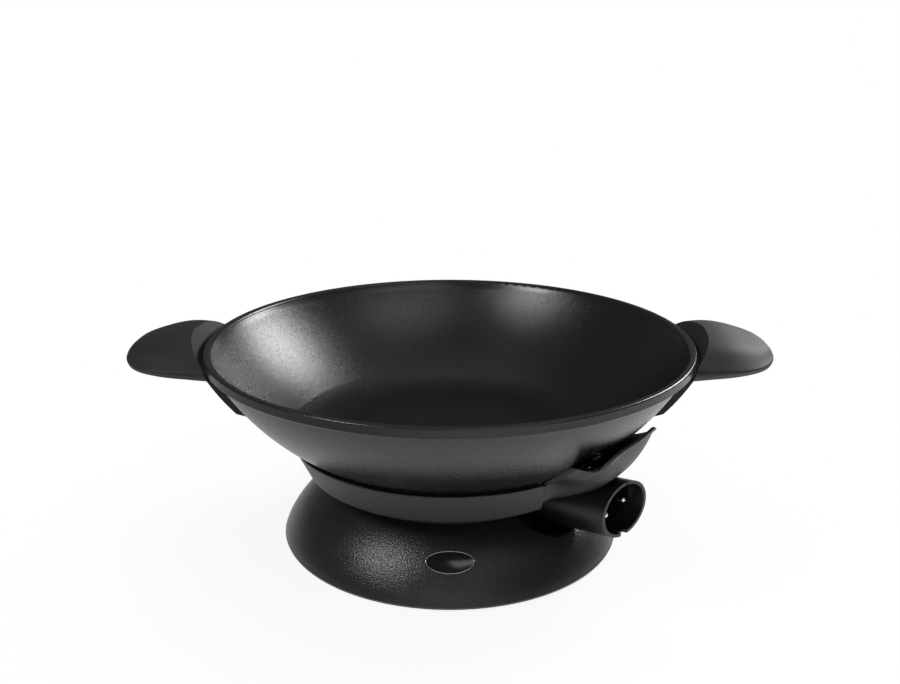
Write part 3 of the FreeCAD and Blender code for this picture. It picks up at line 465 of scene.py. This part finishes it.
def pedestalProfiles():
    # outer and inner half of the closed profile, as (radius, height); each stretch ends in its count of steps
    p = pedestal
    centre, radius = flareArc()
    inner = radius - p["wall"]
    fineEnd = onArc(centre, radius, distance=p["fineTo"])
    innerEnd = onArc(centre, inner, distance=p["fineTo"] - 1)
    foot = onArc(centre, inner, height=p["foot"])
    shoulder = onArc(centre, inner, height=p["shoulder"][1])
    ceilingEdge = (p["ceilingRadius"], p["ceiling"])
    ceilingFine = (p["fineFrom"] - 4, p["ceiling"])
    outer = [
        run((p["holeRadius"], p["deck"]), (p["fineFrom"], p["deck"]), 5),
        run((p["fineFrom"], p["deck"]), (p["deckRadius"], p["deck"]), 23),
        run((p["deckRadius"], p["deck"]), p["slope"], 25),
        run(p["slope"], p["edge"], 9),
        run(p["edge"], p["head"], 3),
        arcRun(centre, radius, p["head"], fineEnd, 46),
        arcRun(centre, radius, fineEnd, p["end"], 12),
        run(p["end"], p["wide"], 3),
        run(p["wide"], p["under"], 3),
        run(p["under"], p["bottom"], 2),
        run(p["bottom"], p["inside"], 2),
    ]
    inside = [
        run(p["inside"], foot, 3),
        arcRun(centre, inner, foot, innerEnd, 10),
        arcRun(centre, inner, innerEnd, shoulder, 26),
        run(shoulder, p["shoulder"], 3),
        run(p["shoulder"], ceilingEdge, 12),
        run(ceilingEdge, ceilingFine, 14),
        run(ceilingFine, (p["holeRadius"], p["ceiling"]), 4),
        run((p["holeRadius"], p["ceiling"]), (p["holeRadius"], p["deck"]), 2),
    ]
    return np.concatenate(outer), np.concatenate(inside)


def makePedestal():
    # a closed profile turned round the axis, where each height is the lower of the profile's and the scoop's
    middle, fine = scoop["azimuth"], pedestal["fineTurn"]
    turns = np.radians(np.concatenate([
        np.arange(middle - fine, middle + fine, pedestal["fineStep"]),
        np.arange(middle + fine, middle - fine + 360, pedestal["coarseStep"])]))[None]
    halves = []
    for profile, grow in zip(pedestalProfiles(), (0.0, scoop["wall"])):
        radius, height = profile[:, :1], profile[:, 1:]
        floor = scoopFloor(radius * np.cos(turns), radius * np.sin(turns), grow)
        height = softMin(height + 0 * turns, np.maximum(floor, scoop["lowest"] - grow), scoop["lip"])
        halves.append(turned(radius, turns, height))
    grids = [(np.concatenate(halves), True, True, False)]
    for circle, foot, head, azimuths in posts["places"]:
        grids += [(postTube(circle, foot, head, azimuth), True, True, False) for azimuth in azimuths]
    mesh = sharpen(gridMesh("pedestalShell", *grids), pedestal["hardEdge"])
    makePiece("pedestalShell", mesh, "base", "base", "base_pedestal")


def postTube(circle, foot, head, azimuth):
    # a screw post: a square-ended tube standing on this circle at this azimuth
    turn = math.radians(azimuth)
    girth, hole = posts["girth"], posts["hole"]
    loop = np.array([(girth, head), (girth, foot), (hole, foot), (hole, head)])
    tube = turned(loop[:, :1], circleOf(posts["sides"])[None], loop[:, 1:])
    return tube + np.array([math.cos(turn), math.sin(turn), 0]) * circle / 1000


# the badge: a bare gloss oval in a thin bright rim, in millimetres
badge = {
    "height": 28.9, "halfWidth": 16.9, "halfHeight": 8.1,
    "rimWidth": 0.9, "rimProud": 0.42, "plateProud": 0.12, "plateCrown": 0.22, "sunk": 0.6,
    "sides": 120, "rings": 12, "underRings": 5, "rimSides": 14, "hardEdge": 40.0,
}


def onFlare(across, along, proud):
    # the point this far across and down the flare from the badge's middle, and this far off its face
    centre, radius = flareArc()
    angle = math.asin((badge["height"] - centre[1]) / radius) - along / radius
    distance = centre[0] + (radius + proud) * np.cos(angle)
    return turned(distance, across / distance - math.pi / 2, centre[1] + (radius + proud) * np.sin(angle))


def makeBadge():
    # plate: rings of growing ellipses, proud by plateProud + plateCrown * (1 - share ** 2), closed underneath
    t = circleOf(badge["sides"])[None]
    half = badge["rimWidth"] / 2
    wide, tall = badge["halfWidth"] - half, badge["halfHeight"] - half
    share = np.linspace(0, 1, badge["rings"])
    crown = badge["plateProud"] + badge["plateCrown"] * (1 - share ** 2)
    under = np.linspace(1, 0, badge["underRings"])
    share = np.concatenate([share, under])[:, None]
    proud = np.concatenate([crown, np.full(badge["underRings"], -badge["sunk"])])[:, None] + 0 * t
    plate = onFlare(share * wide * np.cos(t), share * tall * np.sin(t), proud)
    mesh = sharpen(gridMesh("badgePlate", (plate, False, True, True)), badge["hardEdge"])
    makePiece("badgePlate", mesh, "badge", "base", "badge_plate")
    # rim: an oval bead carried along the ellipse
    a = circleOf(badge["rimSides"])[:, None]
    reach = half * (np.cos(a) - 1)
    middle, reachUp = (badge["rimProud"] - badge["sunk"]) / 2, (badge["rimProud"] + badge["sunk"]) / 2
    proud = middle + reachUp * np.sin(a) + 0 * t
    rim = onFlare((badge["halfWidth"] + reach) * np.cos(t), (badge["halfHeight"] + reach) * np.sin(t), proud)
    makePiece("badgeRim", gridMesh("badgeRim", (rim, True, True, False)), "badgeRim", "base", "badge_rim")


# the dish's rolled hem, in millimetres and degrees from the tube's azimuth
hem = {
    "radius": 120.25, "height": 81.15, "bead": 0.85,
    "left": -24.3, "right": 31.6, "taper": 4.0,
    "steps": 360, "sides": 12,
}


def makeHem():
    # a round bead carried along the dish's rim from one side of the notch to the other, drawn out to a point
    # at each end: its radius is bead * sqrt(degrees to the nearer end / taper), at most bead
    start, end = scoop["azimuth"] + hem["right"], scoop["azimuth"] + 360 + hem["left"]
    turn = np.linspace(start, end, hem["steps"])[:, None]
    bead = hem["bead"] * np.clip(np.minimum(turn - start, end - turn) / hem["taper"], 0, 1) ** 0.5
    a = circleOf(hem["sides"])[None]
    bar = turned(hem["radius"] + bead * np.cos(a), np.radians(turn), hem["height"] + bead * np.sin(a))
    makePiece("dishHem", gridMesh("dishHem", (bar, False, True, False)), "sheet", "base")


# the heat guard, in millimetres
guard = {
    # the left shoulder, then the blunt tip
    "lift": 7.6, "liftHeight": 93.5, "liftSpread": 7.6, "liftFrom": -38.0, "liftOver": 12.0,
    "pull": 10.5, "pullFrom": 18.0, "pullOver": 28.0, "pullHeight": 90.0, "pullRise": 14.0,
    "hardEdge": 40.0,
}


def makeGuard():
    # the solid's sheet, with its left shoulder raised by a bell over the height, faded in across the tube,
    # and its tip drawn in sideways by an eased step over both
    mesh, points = openNode("heat_guard", "guardSheet")
    turn = math.radians(scoop["azimuth"])
    height = points[:, 2].copy()
    across = points[:, 1] * math.cos(turn) - points[:, 0] * math.sin(turn)
    bell = np.exp(-((height - guard["liftHeight"]) / guard["liftSpread"]) ** 2)
    points[:, 2] += guard["lift"] * bell * ease((guard["liftFrom"] - across) / guard["liftOver"])
    pull = guard["pull"] * ease((across - guard["pullFrom"]) / guard["pullOver"])
    pull = pull * ease((height - guard["pullHeight"]) / guard["pullRise"])
    points[:, 0] += pull * math.sin(turn)
    points[:, 1] -= pull * math.cos(turn)
    makePiece("guardSheet", closeNode(mesh, points, guard["hardEdge"]), "sheet", "wok", "heat_guard")


# the handles' grips, in millimetres
grip = {
    "from": 163.0, "tip": 238.2,            # distances from the wok's axis
    "ridge": 143.0, "ridgeBlend": 8.0,      # the height that parts top from underside
    "topLift": 3.2, "underLift": 3.4, "underReach": 0.72,
    "widen": 0.20, "blunt": 1.1, "bluntAt": 145.6,
    "hardEdge": 35.0,
}


def makeGrip(side):
    # the solid's grip with a blunter tip: with s the share of the way out, the top rises by topLift * s ** 6,
    # the underside by underLift eased in over underReach, widths grow by 1 + widen * s ** 6, and heights
    # spread from bluntAt by 1 + blunt * s ** 9, up to the solid's own top
    name = "grip" + side.capitalize()
    mesh, points = openNode("handle_" + side, name)
    highest = points[:, 2].max()
    s = np.clip((np.abs(points[:, 0]) - grip["from"]) / (grip["tip"] - grip["from"]), 0, 1)
    top = ease((points[:, 2] - grip["ridge"]) / grip["ridgeBlend"] + 0.5)
    height = points[:, 2] + top * grip["topLift"] * s ** 6
    height = height + (1 - top) * grip["underLift"] * ease(s / grip["underReach"])
    height = grip["bluntAt"] + (height - grip["bluntAt"]) * (1 + grip["blunt"] * s ** 9)
    points[:, 2] = np.minimum(height, highest)
    points[:, 1] *= 1 + grip["widen"] * s ** 6
    makePiece(name, closeNode(mesh, points, grip["hardEdge"]), "handle", "wok", "handle_" + side)


makePedestal()
makeBadge()
makeHem()
makeGuard()
makeGrip("left")
makeGrip("right")
print("pieces made")


# the studio, in metres and watts
studio = {
    "floorSize": 6.0, "floorGrey": 0.80, "floorGlow": 0.25,
    "shadow": 0.16,                         # how much of its own shade the floor shows
    "fadeFrom": 0.13, "fadeTo": 0.36,       # it turns to plain white between these distances from the wok
    "mirrorLeft": 0.50, "mirrorFrom": -0.38, "mirrorTo": 0.05,     # gloss sees it a little dimmer on the left
    "skyStrength": 0.13,
    "aim": (0, 0, 0.15),
    "lamps": [                              # name, power, width and height, azimuth, elevation, distance
        ("keyBox", 20.0, (0.5, 0.6), 38, 28, 1.5),
        ("frontLeftBox", 9.5, (0.38, 0.38), -145, 40, 1.5),
        ("frontStrip", 3.2, (1.8, 0.35), -90, 15, 1.6),
        ("frontTopBox", 3.2, (1.1, 0.45), -56, 55, 1.5),
        ("topBox", 1.6, (1.4, 1.0), 90, 78.31, 1.4807),
    ],
}


def makeFloor():
    # a flat square; the camera sees it nearly white, with the wok's shadow, and gloss sees it plain and pale
    rows = np.linspace(-1, 1, 41) * studio["floorSize"]
    x, y = np.meshgrid(rows, rows, indexing="ij")
    mesh = gridMesh("floor", (np.stack([x, y, 0 * x], -1), False, False, False))
    floor = bpy.data.objects.new("floor", mesh)
    bpy.context.scene.collection.objects.link(floor)
    finish = Finish("floorPaper", Roughness=0.9, Specular_IOR_Level=0.1)
    level, plain = studio["floorGrey"], (1, 1, 1)
    paler, darker = grey(level, plain), grey(level * 0.995, plain)
    finish.feed("Base Color", finish.mix(finish.noise(3.0, 3.0), darker, paler))
    seen = finish.node("ShaderNodeLightPath", out="Is Camera Ray")
    gloss = finish.node("ShaderNodeLightPath", out="Is Glossy Ray")
    glass = finish.node("ShaderNodeLightPath", out="Is Transmission Ray")
    glow = finish.node("ShaderNodeEmission", values={"Strength": studio["floorGlow"]})
    dim = finish.node("ShaderNodeEmission", values={"Strength": studio["mirrorLeft"]})
    white = finish.node("ShaderNodeEmission", values={"Strength": 1.0})
    paper = Field(finish, finish.shader.outputs[0])
    away = (finish.axis("X") ** 2 + finish.axis("Y") ** 2) ** 0.5
    fade = 1 - (1 - away.between(studio["fadeFrom"], studio["fadeTo"])) * studio["shadow"]
    side = finish.axis("X").between(studio["mirrorFrom"], studio["mirrorTo"])
    shown = finish.either(fade, finish.node("ShaderNodeAddShader", values={0: paper, 1: glow}), white)
    reflected = finish.either(gloss.atLeast(glass), paper, finish.either(side, dim, white))
    finish.surface("Material Output", finish.either(seen, reflected, shown))
    mesh.materials.append(finish.material)


def makeLamp(name, power, size, azimuth, elevation, distance):
    data = bpy.data.lights.new(name, "AREA")
    data.shape = "RECTANGLE"
    data.size, data.size_y = size
    data.energy = power
    lamp = bpy.data.objects.new(name, data)
    bpy.context.scene.collection.objects.link(lamp)
    turn, rise = math.radians(azimuth), math.radians(elevation)
    out = Vector((math.cos(rise) * math.cos(turn), math.cos(rise) * math.sin(turn), math.sin(rise)))
    lamp.location = Vector(studio["aim"]) + out * distance
    lamp.rotation_euler = (-out).to_track_quat("-Z", "Y").to_euler()


def makeSky():
    # soft light from all round; the camera sees plain white
    world = bpy.data.worlds.new("studio")
    bpy.context.scene.world = world
    world.use_nodes = True
    world.node_tree.nodes.remove(world.node_tree.nodes["Background"])
    sky = Tree(world.node_tree)
    seen = sky.node("ShaderNodeLightPath", out="Is Camera Ray")
    plain = (1, 1, 1, 1)
    light = sky.node("ShaderNodeBackground", values={"Color": plain, "Strength": studio["skyStrength"]})
    white = sky.node("ShaderNodeBackground", values={"Color": plain, "Strength": 1.0})
    sky.surface("World Output", sky.either(seen, light, white))


makeFloor()
for lampSettings in studio["lamps"]:
    makeLamp(*lampSettings)
makeSky()
print("light and floor made")
